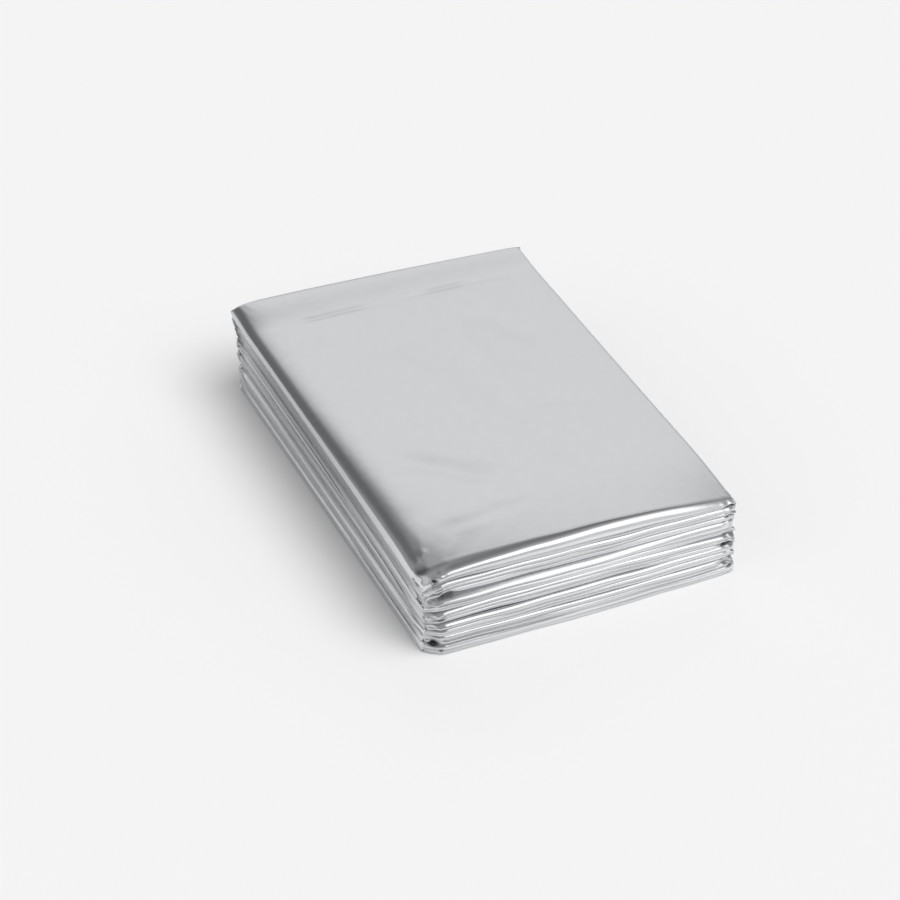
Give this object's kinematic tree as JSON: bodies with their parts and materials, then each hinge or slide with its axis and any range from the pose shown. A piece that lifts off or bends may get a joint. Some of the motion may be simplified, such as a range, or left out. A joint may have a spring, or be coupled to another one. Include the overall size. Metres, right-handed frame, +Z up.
{
  "type": "folded emergency foil blanket",
  "caption": "Rescue blanket of metallised film, folded lengthwise and then back and forth into a flat oblong pack that rests on its even underside.",
  "frame": {"origin": "centre of the underside, on the surface that the folded blanket lies on", "axes": "+X across the width, +Y along the length from the six rounded near bends to the far end, +Z up"},
  "size_m": [0.082, 0.1278, 0.0254],
  "materials": {
    "metallised_film": "bright silver metallised plastic film, softly mirrored, with pressed creases"
  },
  "bodies": {
    "root": {"foil_blanket": "metallised_film"}
  },
  "joints": []
}
